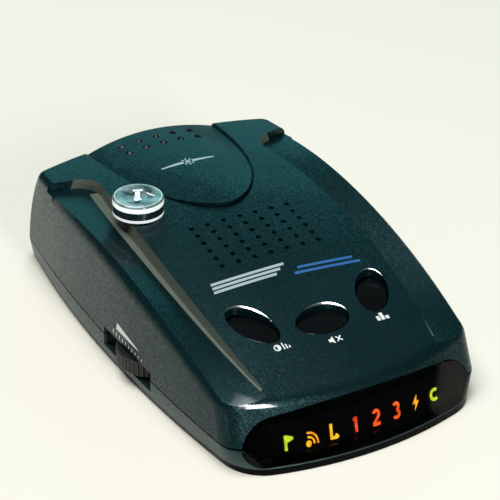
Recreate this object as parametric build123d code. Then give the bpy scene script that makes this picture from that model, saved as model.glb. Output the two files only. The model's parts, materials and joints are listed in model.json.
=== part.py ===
from build123d import *
import math
import os

os.makedirs("parts", exist_ok=True)

# Frame: millimetres, +Z up, z = 0 is the flat underside, x = 0 is the plane of symmetry.
# The display end faces -Y, the antenna and laser end faces +Y.

# ---- case outline, given at the parting line ----
PART_Z = 6.1            # height of the parting line
PART_GAP = 0.25         # width of the groove between the two covers
CASE_TOP = 38.0         # construction height, above everything
FRONT_Y = 62.45         # front apex at the underside
FRONT_ARC = 120.0       # plan radius of the front face
FRONT_PROFILE = 50.3    # profile radius of the front face, upright at the underside
FRONT_FAR = 66.0        # the plan is drawn this far forward, then cut by the front face
FRONT_HALF = 31.87      # half width at FRONT_FAR
FRONT_CORNER = 3.2      # rounding of the two front corners
FRONT_DRAFT = 0.012     # the front corners lean in this much per mm of height
VISOR_Y = 63.8          # the middle of the front face bulges this far forward
VISOR_ARC = 61.0        # plan radius of the bulge
TAIL_Y = -55.6          # display end apex
TAIL_ARC = 90.0         # plan radius of the display end
TAIL_HALF = 33.2        # half width at the display end corners
TAIL_CORNER = 5.5       # plan radius of the display end corners
TAIL_LEAN = 0.44        # the display end leans back this much per mm of height
WAIST_HALF = 36.2       # greatest half width
WAIST_Y = 5.0           # where the case is widest
SIDE_DRAFT = 0.045      # the sides lean in this much per mm of height
WALL = 2.0              # wall thickness
EDGE_ROUND = 1.9        # rounding of the upper edge at the front
TOP_ROUND = 4.0         # rounding of the upper edge at the display end
SPLIT_Y = 37.2          # where the two roundings change over

# ---- foot: the lowest band of the lower cover steps in towards the corners ----
FOOT_Z = 1.5
FOOT_IN = 0.45
FOOT_FRONT_IN = 1.3
FOOT_TAIL_IN = 1.6
FOOT_CORNER = 11.0
FOOT_TAIL_Y = -57.9

# ---- top panel: an arc along the middle, crowned across the width ----
TOP_PEAK_Y = 29.5
TOP_PEAK_Z = 30.67
TOP_ARC = 218.3
TOP_CROWN = 455.0

# ---- raised laser housing, a U in plan, open to the front ----
HOOD_PEAK_Y = 32.0
HOOD_PEAK_Z = 31.8
HOOD_CROWN = 70.0
HOOD_TIP_Y = 9.7        # closed end of the U
HOOD_HALF = 18.0        # half width at the open end
HOOD_SOFT = 0.8         # rounding of the panel edge around the U

# ---- ledges along both sides: the surface rises outwards ----
LEDGE_PEAK_Y = 31.3
LEDGE_PEAK_Z = 27.42
LEDGE_ARC = 257.6
LEDGE_IN_X = 28.5       # where the inner arc is given
RIM_PEAK_Y = 20.0
RIM_PEAK_Z = 28.3
RIM_ARC = 168.0
RIM_X = 34.9            # where the outer arc is given
LEDGE_DRAFT = 7.0       # slope of the inner wall, degrees
LEDGE_FRONT_Y = 34.6    # inner end of the ledge
LEDGE_FRONT_SKEW = 2.6  # the end wall runs forward this much towards the side
LEDGE_CORNER = 3.0

# ---- display ----
LENS_HALF = 30.2        # half width, reached at LENS_WIDE_Z
LENS_WIDE_Z = 5.7
LENS_LOW = 1.9
LENS_LOW_HALF = 25.8    # the straight lower edge ends here
LENS_CREST = 13.5       # top of the arched upper edge
LENS_SHOULDER_X = 22.0
LENS_SHOULDER_Z = 12.1
LENS_THICK = 1.4
LENS_GAP = 0.2
LEGEND_COUNT = 8
LEGEND_PITCH = 5.509
LEGEND_Z = 5.28
LEGEND_Y = -53.03
LEGEND_ARC = 143.0

# ---- keys: centre, half length, half width, heading of the long axis ----
KEY_HALF_LONG = 6.85
KEY_HALF_SHORT = 4.0
KEY_GAP = 0.3
KEY_TILT = 7.0
SIDE_KEY_X = 16.0
SIDE_KEY_Y = -29.6
SIDE_KEY_TURN = 58.0
MUTE_KEY_Y = -33.7

# ---- volume wheel ----
WHEEL_X = -28.8
WHEEL_Y = -6.0
WHEEL_R = 9.0
WHEEL_LOW = 3.9
WHEEL_HIGH = 7.6
WHEEL_TEETH = 44
SHAFT_R = 1.5
SLOT_LOW = 3.0
SLOT_HIGH = 8.2

# ---- speaker and grille ----
GRILLE_COLUMNS = 7
GRILLE_ROWS = 6
GRILLE_PITCH_X = 4.378
GRILLE_PITCH_Y = 2.996
GRILLE_Y = -2.9
GRILLE_HOLE_R = 0.65
SPEAKER_R = 14.0
SPEAKER_TILT = 8.75

# ---- clear laser lens on the top ----
KNOB_X = -20.8
KNOB_Y = 17.3
KNOB_R = 6.24
KNOB_SEAT = 29.6
KNOB_TOP = 34.1
KNOB_STEM_R = 4.9

# ---- boards ----
BOARD_LOW = 10.4
BOARD_HIGH = 12.0
LASER_BOARD_LOW = 22.4
LASER_BOARD_HIGH = 23.6
FIT = 0.05              # radial clearance of a shaft that turns or slides

# ---- power jack ----
JACK_Z = 15.4
JACK_BORE_R = 1.8
JACK_MOUTH_X = 33.0


def block(x0, x1, y0, y1, z0, z1):
    """Box between two corners."""
    return Pos((x0 + x1) / 2, (y0 + y1) / 2, (z0 + z1) / 2) * Box(x1 - x0, y1 - y0, z1 - z0)


def rod(x, y, z0, z1, r):
    """Upright cylinder."""
    return Pos(x, y, (z0 + z1) / 2) * Cylinder(r, z1 - z0)


def rod_x(x0, x1, y, z, r):
    """Cylinder along X."""
    return Pos((x0 + x1) / 2, y, z) * Rot(0, 90, 0) * Cylinder(r, x1 - x0)


def rod_y(x, y0, y1, z, r):
    """Cylinder along Y."""
    return Pos(x, (y0 + y1) / 2, z) * Rot(90, 0, 0) * Cylinder(r, y1 - y0)


def mirrored(shape):
    """A shape together with its twin across x = 0."""
    return shape + mirror(shape, Plane.YZ)


def sagitta(radius, half):
    return radius - math.sqrt(radius * radius - half * half)


def top_height(y):
    return TOP_PEAK_Z - sagitta(TOP_ARC, y - TOP_PEAK_Y)


def hood_height(y):
    return HOOD_PEAK_Z - sagitta(TOP_ARC, y - HOOD_PEAK_Y)


def ledge_height(y):
    return LEDGE_PEAK_Z - sagitta(LEDGE_ARC, y - LEDGE_PEAK_Y)


def under_arc(height, y_low, y_high, drop, z_far):
    """Area in the YZ plane between the arc height(y) and the level z_far."""
    low = (0, y_low, height(y_low) - drop)
    high = (0, y_high, height(y_high) - drop)
    ridge = ThreePointArc(low, (0, 0, height(0) - drop), high)
    sides = Polyline(high, (0, y_high, z_far), (0, y_low, z_far), low)
    return Face(Wire([ridge, *sides.edges()]))


def outline(z, inset=0.0):
    """Plan outline of the case at height z, moved in by inset, drawn past the front face."""
    rise = max(z - PART_Z, 0.0)
    below = z < PART_Z
    toe = FOOT_IN if z < FOOT_Z else 0.0
    front_half = FRONT_HALF - FRONT_DRAFT * rise - inset - toe
    waist = WAIST_HALF - SIDE_DRAFT * rise - inset - toe
    tail_half = TAIL_HALF - SIDE_DRAFT * rise - inset - toe
    tail = TAIL_Y + TAIL_LEAN * (max(z, FOOT_Z) - PART_Z) + inset
    corner = TAIL_CORNER
    if below:
        front_half -= FOOT_FRONT_IN
        tail_half -= FOOT_TAIL_IN
        corner = FOOT_CORNER
    if z < FOOT_Z:
        tail = FOOT_TAIL_Y + inset
    tail_corner_y = tail + sagitta(TAIL_ARC, tail_half)
    face = make_face([
        Line((-front_half, FRONT_FAR), (front_half, FRONT_FAR)),
        ThreePointArc((front_half, FRONT_FAR), (waist, WAIST_Y), (tail_half, tail_corner_y)),
        ThreePointArc((tail_half, tail_corner_y), (0, tail), (-tail_half, tail_corner_y)),
        ThreePointArc((-tail_half, tail_corner_y), (-waist, WAIST_Y), (-front_half, FRONT_FAR)),
    ])
    corners = face.vertices().filter_by(lambda v: v.Y < 0)
    return Pos(0, 0, z) * fillet(corners, max(corner - inset, 0.8))


def front_cutter(inset, plan_arc, apex_y):
    """Everything in front of a front face that is curved in plan and in profile."""
    radius = FRONT_PROFILE - inset
    hub = plan_arc - FRONT_PROFILE

    def at(z):
        return (hub + math.sqrt(radius * radius - z * z), 0, z)

    foot = at(FOOT_Z)
    high = at(40.0)
    curve = ThreePointArc(foot, at(20.0), high)
    far_x = high[0] + 60.0
    heel_x = foot[0] - FOOT_IN
    rest = Polyline(high, (far_x, 0, 40.0), (far_x, 0, -2.0), (heel_x, 0, -2.0), (heel_x, 0, 0), foot)
    swept = revolve(Face(Wire([curve, *rest.edges()])), Axis.Z, 50)
    return Pos(0, apex_y - plan_arc, 0) * Rot(0, 0, 65) * swept


def open_prism(inset=0.0):
    """Sides and display end of the case, not yet cut by the front face."""
    return loft([outline(z, inset) for z in (0, FOOT_Z, PART_Z, CASE_TOP)], ruled=True)


def front_rounded(band, radius):
    """Rounds the two upright front corners."""
    upright = [e for e in band.edges() if e.bounding_box().size.Z > 0.8 * e.length]
    return fillet([e for e in upright if e.center().Y > 45], radius)


def case_prism(inset=0.0, front_corner=FRONT_CORNER):
    """Case form without its roof."""
    body = open_prism(inset) - front_cutter(inset, FRONT_ARC, FRONT_Y)
    if inset > 0:
        return body
    low_band = body & block(-50, 50, -80, 80, -1, PART_Z)
    high_band = body & block(-50, 50, -80, 80, PART_Z, CASE_TOP + 1)
    return front_rounded(low_band, front_corner) + front_rounded(high_band, front_corner)


def visor_prism(inset=0.0):
    """The same form with the bulged middle of the front face."""
    return open_prism(inset) - front_cutter(inset, VISOR_ARC, VISOR_Y)


def crowned_form(height, crown, drop=0.0):
    """Solid below a surface that follows height(y) and falls away to both sides."""
    profile = under_arc(height, -66, 66, drop, -20.0)
    axis = Axis((0, 0, TOP_PEAK_Z - crown), (0, 1, 0))
    sweep_angle = 2 * math.degrees(40.0 / crown) + 2
    return revolve(profile.rotate(axis, -sweep_angle / 2), axis, sweep_angle)


def hood_plan(inset=0.0):
    """Plan area of the raised laser housing."""
    far_y = FRONT_Y + 10
    half = HOOD_HALF - inset
    tip = HOOD_TIP_Y + inset
    scale = half / HOOD_HALF
    right = [(0, tip), (4.8 * scale, 11.4 + inset), (8.9 * scale, 15.0 + inset), (12.4 * scale, 20.2 + inset),
             (14.7 * scale, 26.0 + inset), (16.4 * scale, 33.0 + inset), (half - 0.5, 41.5 + inset), (half, far_y)]
    left = [(-x, y) for x, y in reversed(right)]
    curve = Spline(*left[:-1], *right, tangents=[(0, -1), (0, 1)])
    lid = Line((half, far_y), (-half, far_y))
    return make_face([curve, lid])


def ledge_plan(inset=0.0):
    """Plan area of the right side ledge."""
    inner = ThreePointArc((26.2 - inset, 36.0), (28.5 - inset, -10.0), (22.85 - inset, -55.0))
    end_y = LEDGE_FRONT_Y + inset
    area = make_face([
        inner,
        Line((22.85 - inset, -55.0), (22.85 - inset, -70.0)),
        Line((22.85 - inset, -70.0), (45.0, -70.0)),
        Line((45.0, -70.0), (45.0, 36.0)),
        Line((45.0, 36.0), (26.2 - inset, 36.0)),
    ])
    end_cut = make_face(Polyline(
        (20.0, end_y), (26.0, end_y), (34.0, end_y + LEDGE_FRONT_SKEW), (50.0, end_y + LEDGE_FRONT_SKEW),
        (50.0, 60.0), (20.0, 60.0), close=True))
    area = area + make_face(Polyline((26.2 - inset, 36.0), (45.0, 36.0), (45.0, 45.0), (26.2 - inset, 45.0),
                                     close=True))
    area = area - end_cut
    corner = area.vertices().filter_by(lambda v: v.Y > 30).sort_by(Axis.X)[0]
    return fillet(corner, LEDGE_CORNER)


def shelf_height(x, y):
    """Height of the ledge surface, which rises from the inner wall to the rim."""
    inner = ledge_height(y)
    rim = RIM_PEAK_Z - sagitta(RIM_ARC, y - RIM_PEAK_Y)
    return inner + (rim - inner) * (x - LEDGE_IN_X) / (RIM_X - LEDGE_IN_X)


def ledge_cutter(inset=0.0):
    """Space above both ledges."""
    slices = []
    for x in (18.0, 46.0):
        low, middle, high = [(x, y, shelf_height(x, y) - inset) for y in (-62.0, -12.0, 42.0)]
        sides = Polyline(high, (x, high[1], 70.0), (x, low[1], 70.0), low)
        slices.append(Face(Wire([ThreePointArc(low, middle, high), *sides.edges()])))
    column = extrude(ledge_plan(inset), 60, taper=-LEDGE_DRAFT)
    return mirrored(column & loft(slices, ruled=True))


def rim_edges(solid):
    """Edges around the top of a case form: everything high up except the climbing corner edges."""
    return [e for e in solid.edges() if e.center().Z > 10 and e.bounding_box().size.Z < 13]


def is_u_edge(edge):
    """The edge of the top panel around the raised housing."""
    box = edge.bounding_box()
    return box.min.Z > 24 and box.size.X > 30 and box.min.Y < HOOD_TIP_Y + 2


def case_solid(inset=0.0, rounded=True):
    """Whole outer form of the case, or the same form moved in for the cavity."""
    roof = crowned_form(top_height, TOP_CROWN, inset)
    panel = case_prism(inset) & roof
    hood = visor_prism(inset) & crowned_form(hood_height, HOOD_CROWN, inset)
    u_area = extrude(hood_plan(inset), CASE_TOP + 10)
    if rounded:
        crisp = fillet(rim_edges(panel), EDGE_ROUND)
        soft = fillet(rim_edges(case_prism(inset, TOP_ROUND + 0.5) & roof), TOP_ROUND)
        panel = soft & block(-60, 60, -80, SPLIT_Y, -1, 60)
        panel += crisp & block(-60, 60, SPLIT_Y, 80, -1, 60)
        front = [e for e in rim_edges(hood) if e.center().Y > 45 and abs(e.center().X) < 5]
        hood = fillet(front, EDGE_ROUND)
    main = panel - ledge_cutter(inset) - u_area
    if rounded:
        main = fillet([e for e in main.edges() if is_u_edge(e)], HOOD_SOFT)
    return main + (hood & u_area)


def solid_only(shape):
    """Drop slivers: keep the largest solid."""
    return shape.solids().sort_by(SortBy.VOLUME)[-1]


PARTS = {}


def part(node, shape):
    """Keep one finished piece, or one set of like pieces, under its node name."""
    PARTS[node] = shape


# ---------------------------------------------------------------- case covers
outer = case_solid()
cavity = solid_only(case_solid(WALL, rounded=False) & block(-50, 50, -80, 80, WALL, 60))

lip_outer = case_prism(1.2)
lip_rebate = case_prism(1.1)
lip_inner = case_prism(WALL)
LIP_HIGH = PART_Z + 1.6
lip_span = block(-50, 50, -43.0, 80, 0, 60)
lip = (lip_outer - lip_inner) & lip_span & block(-50, 50, -80, 80, PART_Z - 0.6, LIP_HIGH)
rebate = (lip_rebate - lip_inner) & block(-50, 50, -80, 80, PART_Z - 0.6, LIP_HIGH + 0.2)

lower = (outer & block(-50, 50, -80, 80, -1, PART_Z - PART_GAP / 2)) - cavity + lip
upper = (outer & block(-50, 50, -80, 80, PART_Z + PART_GAP / 2, 60)) - cavity - rebate

# corner screw posts
POST_X = 29.3
POST_YS = (-36.0, 46.0)
POST_R = 2.8
POST_SPLIT = 9.5
SCREW_R = 1.2
SCREW_HEAD_R = 2.3
SCREW_HEAD_LOW = 2.2
SCREW_HEAD_HIGH = 4.0
SCREW_TIP = 15.0
screws = None
for x in (-POST_X, POST_X):
    for y in POST_YS:
        lower += rod(x, y, 0.5, POST_SPLIT, POST_R)
        lower -= rod(x, y, -1, SCREW_HEAD_HIGH, SCREW_HEAD_R + 0.25)
        lower -= rod(x, y, 0, POST_SPLIT + 1, SCREW_R + 0.2)
        roof_z = shelf_height(POST_X, y) - 1.0 if y < 0 else top_height(y) - 2.4
        upper += rod(x, y, POST_SPLIT, roof_z, POST_R)
        upper -= rod(x, y, POST_SPLIT - 1, SCREW_TIP, SCREW_R)
        screw = rod(x, y, SCREW_HEAD_LOW, SCREW_HEAD_HIGH, SCREW_HEAD_R)
        screw += rod(x, y, SCREW_HEAD_HIGH, SCREW_TIP, SCREW_R)
        slot = block(x - 1.5, x + 1.5, y - 0.3, y + 0.3, SCREW_HEAD_LOW, SCREW_HEAD_LOW + 0.8)
        cross = block(x - 0.3, x + 0.3, y - 1.5, y + 1.5, SCREW_HEAD_LOW, SCREW_HEAD_LOW + 0.8)
        screw = screw - slot - cross
        screws = screw if screws is None else screws + screw
part("case_screws", screws)

# board posts stand on the floor
BOARD_POSTS = ((-22.5, -39.5), (22.5, -39.5), (-21.0, 6.5), (21.0, 6.5))
BOARD_SCREW_R = 0.9
board_screws = None
for x, y in BOARD_POSTS:
    lower += rod(x, y, WALL - 0.5, BOARD_LOW, 2.3)
    lower -= rod(x, y, 5.0, BOARD_LOW + 1, BOARD_SCREW_R)
    screw = rod(x, y, 5.0, BOARD_HIGH, BOARD_SCREW_R) + rod(x, y, BOARD_HIGH, BOARD_HIGH + 1.2, 1.9)
    screw -= block(x - 1.2, x + 1.2, y - 0.25, y + 0.25, BOARD_HIGH + 0.7, BOARD_HIGH + 2)
    board_screws = screw if board_screws is None else board_screws + screw
part("board_screws", board_screws)

# windscreen bracket slot, opening under the front face
BRACKET_HALF = 7.5
BRACKET_LOW = 2.4
BRACKET_HIGH = 4.4
BRACKET_DEPTH = 14.0
pocket = block(-9.2, 9.2, 60 - BRACKET_DEPTH - 2, 70, 1.0, 5.85) & outer
lower += pocket
lower -= block(-BRACKET_HALF, BRACKET_HALF, 60.5 - BRACKET_DEPTH, 70, BRACKET_LOW, BRACKET_HIGH)

# rating label recess on the underside
LABEL_X = 19.0
LABEL_Y0 = -8.0
LABEL_Y1 = 16.0
lower -= block(-LABEL_X, LABEL_X, LABEL_Y0, LABEL_Y1, -1, 0.4)
part("rating_label", block(-LABEL_X + 0.3, LABEL_X - 0.3, LABEL_Y0 + 0.3, LABEL_Y1 - 0.3, 0.2, 0.4))

# display opening
def stadium(grow):
    """Prism along Y with the outline of the display lens, drawn at a larger size by grow."""
    shoulder = (LENS_SHOULDER_X, LENS_SHOULDER_Z)
    widest = (LENS_HALF, LENS_WIDE_Z)
    heel = (LENS_LOW_HALF, LENS_LOW)
    upper_corner = ThreePointArc(shoulder, (27.3, 10.2), widest)
    lower_corner = ThreePointArc(widest, (29.15, 3.15), heel)
    crest = ThreePointArc((-LENS_SHOULDER_X, LENS_SHOULDER_Z), (0, LENS_CREST), shoulder)
    bottom = Line(heel, (-LENS_LOW_HALF, LENS_LOW))
    sides = [upper_corner, lower_corner]
    plan = make_face([crest, bottom, *sides, *[mirror(side, Plane.YZ) for side in sides]])
    if grow != 0:
        plan = offset(plan, grow)
    return Pos(0, -44.0, 0) * Rot(90, 0, 0) * extrude(plan, 30)


opening = stadium(LENS_GAP)
lower -= opening
upper -= opening

# volume wheel slot: a shallow scoop with a pocket for the wheel
scoop = extrude(make_face(Polyline(
    (-45, 9.0), (-45, -21.0), (-35.6, -17.4), (-33.2, -14.2), (-33.2, 2.2), (-35.7, 5.6), close=True)), 1)
scoop = Pos(0, 0, SLOT_LOW) * scale(scoop, by=(1, 1, SLOT_HIGH - SLOT_LOW))
wheel_room = rod(WHEEL_X, WHEEL_Y, SLOT_LOW, SLOT_HIGH, WHEEL_R + 0.5)
lower -= scoop + wheel_room
upper -= scoop + wheel_room

# grille
holes = []
for i in range(GRILLE_COLUMNS):
    for j in range(GRILLE_ROWS):
        x = (i - (GRILLE_COLUMNS - 1) / 2) * GRILLE_PITCH_X
        y = GRILLE_Y + (j - (GRILLE_ROWS - 1) / 2) * GRILLE_PITCH_Y
        holes.append(rod(x, y, 20, 40, GRILLE_HOLE_R))
upper -= holes

# speaker ring under the roof
SPEAKER_Z = top_height(GRILLE_Y) - 2.05
tilt = Pos(0, GRILLE_Y, SPEAKER_Z) * Rot(SPEAKER_TILT, 0, 0)
ring = tilt * (rod(0, 0, -3.6, 1.0, SPEAKER_R + 1.3) - rod(0, 0, -4, 4, SPEAKER_R + 0.15))
upper += ring

# finger dots over the laser housing
DOT_COLUMNS = 5
DOT_PITCH = 4.926
DOT_ROWS = (43.64, 48.07)
DOT_R = 0.66
for y in DOT_ROWS:
    for i in range(DOT_COLUMNS):
        x = (i - (DOT_COLUMNS - 1) / 2) * DOT_PITCH
        z = hood_height(y) - x * x / (2 * HOOD_CROWN)
        upper += rod(x, y, z - 0.8, z + 0.15, DOT_R) + Pos(x, y, z + 0.1) * scale(Sphere(DOT_R), by=(1, 1, 0.45))

# seat and hole for the clear lens
upper -= rod(KNOB_X, KNOB_Y, KNOB_SEAT, 45, KNOB_R + 0.2)
upper -= rod(KNOB_X, KNOB_Y, 20, 45, KNOB_STEM_R)

# front laser window
WINDOW_HALF = 10.0
WINDOW_LOW = 21.8
WINDOW_HIGH = 27.2


def window_prism(grow):
    plan = RectangleRounded(2 * (WINDOW_HALF + grow), WINDOW_HIGH - WINDOW_LOW + 2 * grow, 1.5)
    return Pos(0, 70.0, (WINDOW_LOW + WINDOW_HIGH) / 2) * Rot(90, 0, 0) * extrude(plan, 25)


upper -= window_prism(0.1) & block(-50, 50, 51.0, 80, 0, 60)
window_skin = (visor_prism(0.3) - visor_prism(2.2)) & window_prism(0) & block(-50, 50, 45, 80, 0, 60)
part("front_laser_window", solid_only(window_skin))

# jack opening on the right side
upper -= rod_x(30, 45, 0, JACK_Z, 4.3)


# ---------------------------------------------------------------- keys
def key_spot(turn, x, y):
    return Pos(x, y, 0) * Rot(0, 0, turn)


KEYS = {
    "dim": (-SIDE_KEY_TURN, -SIDE_KEY_X, SIDE_KEY_Y),
    "mute": (0.0, 0.0, MUTE_KEY_Y),
    "city": (SIDE_KEY_TURN, SIDE_KEY_X, SIDE_KEY_Y),
}
FLANGE_LOW = 15.4
FLANGE_HIGH = 16.2
PLUNGER_LOW = 13.4
PLUNGER_R = 1.7
SWITCH_HIGH = 14.9
switches = None
frames = None
for name, (turn, x, y) in KEYS.items():
    spot = key_spot(turn, x, y)
    hole = spot * extrude(Ellipse(KEY_HALF_LONG, KEY_HALF_SHORT), 60)
    upper -= hole
    reach = math.hypot(KEY_HALF_LONG * math.sin(math.radians(turn)), KEY_HALF_SHORT * math.cos(math.radians(turn)))
    near_y = y - reach
    near_z = top_height(near_y) - x * x / (2 * TOP_CROWN)
    cap_long = KEY_HALF_LONG - KEY_GAP
    cap_short = KEY_HALF_SHORT - KEY_GAP
    cap = spot * Pos(0, 0, FLANGE_LOW) * extrude(Ellipse(cap_long, cap_short), 20)
    # the face of the cap is a shallow dome, tipped towards the display end
    dome = Pos(x, near_y, near_z - 0.15) * Rot(KEY_TILT, 0, 0) * Pos(0, reach, -60.0 + 0.25) * Sphere(60.0)
    cap = cap & dome
    cap = fillet([e for e in cap.edges() if e.center().Z > FLANGE_HIGH + 1 and e.length > 20], 0.4)
    flange_plan = Ellipse(cap_long + 1.1, cap_short + 1.1)
    flange = spot * Pos(0, 0, FLANGE_LOW) * extrude(flange_plan, FLANGE_HIGH - FLANGE_LOW)
    part(name + "_button", cap + flange)
    part(name + "_plunger", rod(x, y, PLUNGER_LOW, FLANGE_LOW, PLUNGER_R))
    switch = block(x - 3, x + 3, y - 3, y + 3, BOARD_HIGH, SWITCH_HIGH - 0.3)
    switch -= rod(x, y, PLUNGER_LOW - 0.8, SWITCH_HIGH + 1, PLUNGER_R + FIT)
    frame = block(x - 3.1, x + 3.1, y - 3.1, y + 3.1, SWITCH_HIGH - 0.3, SWITCH_HIGH)
    frame -= rod(x, y, 0, SWITCH_HIGH + 1, PLUNGER_R + FIT)
    for sx in (-1, 1):
        for sy in (-1, 1):
            frame += block(x + sx * 3.05 - 0.05, x + sx * 3.05 + 0.05, y + sy * 2 - 0.4, y + sy * 2 + 0.4,
                           BOARD_HIGH, SWITCH_HIGH)
    switches = switch if switches is None else switches + switch
    frames = frame if frames is None else frames + frame
part("switch_bodies", switches)
part("switch_frames", frames)

part("upper_cover", upper)
part("lower_cover", lower)

# ---------------------------------------------------------------- display
shell = outer - case_prism(LENS_THICK)
rim_room = (stadium(0) - stadium(-1.1)) & (outer - case_prism(3.4))
lens = (shell & stadium(0)) + rim_room
lens = lens & block(-50, 50, -80, -44.5, 0, 30)
part("display_lens", solid_only(lens))

MASK_THICK = 0.6
MASK_HALF = 21.5
MASK_LOW = 3.0
MASK_HIGH = 9.6
slant = (0, TAIL_LEAN, 1)


def legend_sheet(half, y_front, thick, z_low, z_high):
    """Curved sheet that follows the line of symbols and leans back with the display face."""
    radius = LEGEND_ARC
    drop = sagitta(radius, half)
    y_shift = y_front + TAIL_LEAN * (z_low - LEGEND_Z)
    plan = make_face([
        ThreePointArc((-half, y_shift + drop), (0, y_shift), (half, y_shift + drop)),
        Line((half, y_shift + drop), (half, y_shift + drop + thick)),
        ThreePointArc((half, y_shift + drop + thick), (0, y_shift + thick), (-half, y_shift + drop + thick)),
        Line((-half, y_shift + drop + thick), (-half, y_shift + drop)),
    ])
    height = z_high - z_low
    length = height * math.hypot(1, TAIL_LEAN)
    return Pos(0, 0, z_low) * extrude(plan, length, dir=slant)


mask = legend_sheet(MASK_HALF, LEGEND_Y, MASK_THICK, MASK_LOW, MASK_HIGH)
windows = legend_sheet(MASK_HALF, LEGEND_Y + 0.15, MASK_THICK - 0.15, MASK_LOW, MASK_HIGH)
window_bars = None
light_bars = None
led_set = None
LED_FACE_Y = -49.2
DISPLAY_BOARD_Y0 = -47.6
DISPLAY_BOARD_Y1 = -46.4
for k in range(LEGEND_COUNT):
    x = (k - (LEGEND_COUNT - 1) / 2) * LEGEND_PITCH
    bar = block(x - 2.0, x + 2.0, -60, -40, LEGEND_Z - 2.2, LEGEND_Z + 2.2)
    light = block(x - 2.2, x + 2.2, -60, -40, LEGEND_Z - 2.0, LEGEND_Z + 2.4)
    led = block(x - 1.0, x + 1.0, LED_FACE_Y, DISPLAY_BOARD_Y0, LEGEND_Z - 0.6, LEGEND_Z + 1.4)
    window_bars = bar if window_bars is None else window_bars + bar
    light_bars = light if light_bars is None else light_bars + light
    led_set = led if led_set is None else led_set + led
part("display_mask", mask - window_bars)
part("legend_windows", windows & window_bars)
part("display_leds", led_set)
behind = legend_sheet(MASK_HALF + 3, LEGEND_Y + MASK_THICK, 12.0, MASK_LOW, MASK_HIGH)
baffle = block(-MASK_HALF - 1.5, MASK_HALF + 1.5, -56, DISPLAY_BOARD_Y0, MASK_LOW, MASK_HIGH) & behind
part("light_baffle", solid_only(baffle - light_bars))
part("display_board", block(-23.5, 23.5, DISPLAY_BOARD_Y0, DISPLAY_BOARD_Y1, 3.2, 10.2))
header = block(-7.5, 7.5, DISPLAY_BOARD_Y1, -43.2, 7.9, 9.3) + block(-7.5, 7.5, -43.2, -40.8, 7.9, BOARD_LOW)
part("display_header", header)

# ---------------------------------------------------------------- volume control
teeth_depth = 0.45
wheel = rod(WHEEL_X, WHEEL_Y, WHEEL_LOW, WHEEL_HIGH, WHEEL_R)
wheel = fillet(wheel.edges(), 0.35)
for i in range(WHEEL_TEETH):
    angle = 2 * math.pi * i / WHEEL_TEETH
    groove = rod(WHEEL_X + (WHEEL_R + 0.15) * math.cos(angle), WHEEL_Y + (WHEEL_R + 0.15) * math.sin(angle),
                 WHEEL_LOW - 1, WHEEL_HIGH + 1, teeth_depth)
    wheel -= groove
wheel -= rod(WHEEL_X, WHEEL_Y, WHEEL_LOW - 1, WHEEL_LOW + 0.8, 5.5) - rod(WHEEL_X, WHEEL_Y, 0, 20, 3.0)
wheel -= rod(WHEEL_X, WHEEL_Y, 0, 20, SHAFT_R)
part("volume_wheel", wheel)
POT_LOW = 7.95
shaft = rod(WHEEL_X, WHEEL_Y, WHEEL_LOW + 0.2, BOARD_LOW - 0.6, SHAFT_R)
shaft -= rod(WHEEL_X, WHEEL_Y, 0, WHEEL_HIGH - 0.6, 0.6)
part("volume_shaft", shaft)
wheel_screw = rod(WHEEL_X, WHEEL_Y, WHEEL_LOW - 0.8, WHEEL_LOW, 2.0)
wheel_screw += rod(WHEEL_X, WHEEL_Y, WHEEL_LOW, WHEEL_HIGH - 0.6, 0.6)
wheel_screw += rod(WHEEL_X, WHEEL_Y, WHEEL_LOW, WHEEL_LOW + 0.2, 1.4)
wheel_screw -= block(WHEEL_X - 1.4, WHEEL_X + 1.4, WHEEL_Y - 0.25, WHEEL_Y + 0.25, 0, WHEEL_LOW - 0.4)
part("volume_screw", wheel_screw)
pot = rod(WHEEL_X, WHEEL_Y, POT_LOW, BOARD_LOW, 4.6)
pot -= rod(WHEEL_X, WHEEL_Y, 0, BOARD_LOW - 0.5, SHAFT_R + FIT)
pot += block(WHEEL_X + 3.5, WHEEL_X + 6.5, WHEEL_Y - 3, WHEEL_Y + 3, BOARD_LOW - 1.2, BOARD_LOW)
part("volume_pot", pot)

# ---------------------------------------------------------------- main board
board = block(-26, 26, -44.2, 10.2, BOARD_LOW, BOARD_HIGH)
board += block(-32.6, -25, -15.0, 4.0, BOARD_LOW, BOARD_HIGH)
board += block(25, 32.6, -7.0, 7.0, BOARD_LOW, BOARD_HIGH)
for x, y in BOARD_POSTS:
    board -= rod(x, y, 0, 20, BOARD_SCREW_R)
part("main_board", board)
CHIP_X = 2.0
CHIP_Y = -17.0
chip = block(CHIP_X - 6, CHIP_X + 6, CHIP_Y - 6, CHIP_Y + 6, BOARD_HIGH + 0.1, BOARD_HIGH + 1.6)
part("processor", chip)
pins = None
for i in range(12):
    offset = -4.95 + 0.9 * i
    for sign in (-1, 1):
        along_y = block(CHIP_X + sign * 6.7 - 0.7, CHIP_X + sign * 6.7 + 0.7, CHIP_Y + offset - 0.2,
                        CHIP_Y + offset + 0.2, BOARD_HIGH, BOARD_HIGH + 0.5)
        along_x = block(CHIP_X + offset - 0.2, CHIP_X + offset + 0.2, CHIP_Y + sign * 6.7 - 0.7,
                        CHIP_Y + sign * 6.7 + 0.7, BOARD_HIGH, BOARD_HIGH + 0.5)
        pins = along_y + along_x if pins is None else pins + along_y + along_x
part("processor_pins", pins)
SMALL_CHIPS = ((-14.0, -12.0), (-14.0, 0.0), (14.5, -12.0))
small = None
for x, y in SMALL_CHIPS:
    body = block(x - 2.0, x + 2.0, y - 3.2, y + 3.2, BOARD_HIGH, BOARD_HIGH + 1.5)
    small = body if small is None else small + body
part("logic_chips", small)
CAPACITORS = ((24.0, -12.5), (24.0, -18.5), (-22.5, -20.0))
caps = None
for x, y in CAPACITORS:
    can = fillet(rod(x, y, BOARD_HIGH, BOARD_HIGH + 5.4, 2.0).edges().sort_by(Axis.Z)[-1], 0.4)
    caps = can if caps is None else caps + can
part("capacitors", caps)
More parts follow.
